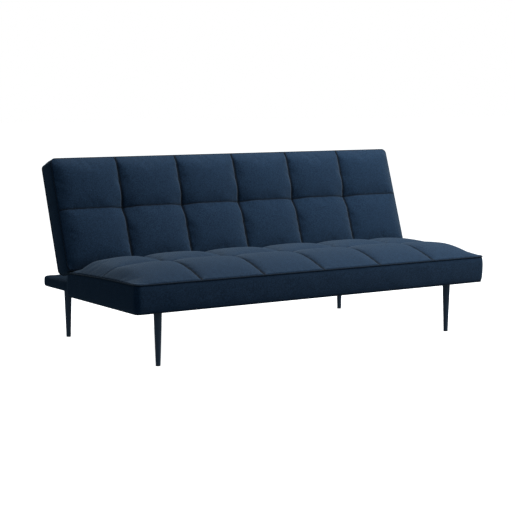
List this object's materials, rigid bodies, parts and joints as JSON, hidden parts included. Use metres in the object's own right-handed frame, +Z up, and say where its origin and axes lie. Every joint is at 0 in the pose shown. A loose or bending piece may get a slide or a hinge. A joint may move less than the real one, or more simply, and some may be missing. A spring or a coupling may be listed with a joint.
{
  "type": "futon sofa bed",
  "caption": "Armless click-clack sofa bed with a quilted seat, a quilted reclining backrest, a slim rear deck and tapered round legs.",
  "frame": {"origin": "on the floor, at the middle of the footprint of the sofa", "axes": "+X to the right when facing the sofa from the front, +Y to the rear, +Z up"},
  "size_m": [1.8, 0.971, 0.8045],
  "materials": {
    "navy_fabric": "matte",
    "deck_fabric": "matte",
    "dust_cloth": "matte",
    "foam": "matte",
    "felt": "matte",
    "strap": "matte",
    "timber": "matte",
    "hardboard": "matte",
    "leg_paint": "satin",
    "zinc_steel": "satin",
    "black_steel": "satin",
    "black_plastic": "matte"
  },
  "bodies": {
    "seat_base": {"base_left_runner": "timber", "base_right_runner": "timber", "deck_board": "hardboard", "deck_centre_rail": "timber", "deck_cover": "deck_fabric", "deck_dust_cover": "dust_cloth", "deck_front_rail": "timber", "deck_left_rail": "timber", "deck_rear_rail": "timber", "deck_right_rail": "timber", "hinge_left_seat_plate": "black_steel", "hinge_nuts": "zinc_steel", "hinge_pins": "zinc_steel", "hinge_right_seat_plate": "black_steel", "hinge_seat_bolts": "zinc_steel", "hinge_washers": "zinc_steel", "leg_front_left": "leg_paint", "leg_front_right": "leg_paint", "leg_glides": "black_plastic", "leg_plate_screws": "zinc_steel", "leg_plates": "zinc_steel", "leg_rear_left": "leg_paint", "leg_rear_right": "leg_paint", "leg_studs": "zinc_steel", "pawl_pins": "zinc_steel", "seat_centre_board": "timber", "seat_cover": "navy_fabric", "seat_dust_cover": "dust_cloth", "seat_foam": "foam", "seat_front_board": "timber", "seat_left_board": "timber", "seat_rear_board": "timber", "seat_right_board": "timber", "seat_spring_clips": "zinc_steel", "seat_spring_pad": "felt", "seat_springs": "zinc_steel"},
    "backrest": {"back_cover": "navy_fabric", "back_foam": "foam", "back_rear_panel": "navy_fabric", "back_straps": "strap", "back_bottom_rail": "timber", "back_top_rail": "timber", "back_left_rail": "timber", "back_right_rail": "timber", "back_centre_rail": "timber", "hinge_left_arm": "black_steel", "hinge_right_arm": "black_steel", "hinge_back_bolts": "zinc_steel"},
    "left_pawl": {"hinge_left_pawl": "black_steel"},
    "right_pawl": {"hinge_right_pawl": "black_steel"}
  },
  "joints": [
    {"name": "backrest_recline", "type": "hinge", "parent": "seat_base", "child": "backrest", "pos_m": [0, 0.1509, 0.322], "axis": [-1, 0, 0], "range_deg": [-4, 71.2]},
    {"name": "left_pawl_drop", "type": "hinge", "parent": "seat_base", "child": "left_pawl", "pos_m": [-0.871, 0.10989, 0.32059], "axis": [1, 0, 0], "range_deg": [0, 10]},
    {"name": "right_pawl_drop", "type": "hinge", "parent": "seat_base", "child": "right_pawl", "pos_m": [0.871, 0.10989, 0.32059], "axis": [1, 0, 0], "range_deg": [0, 10]}
  ]
}
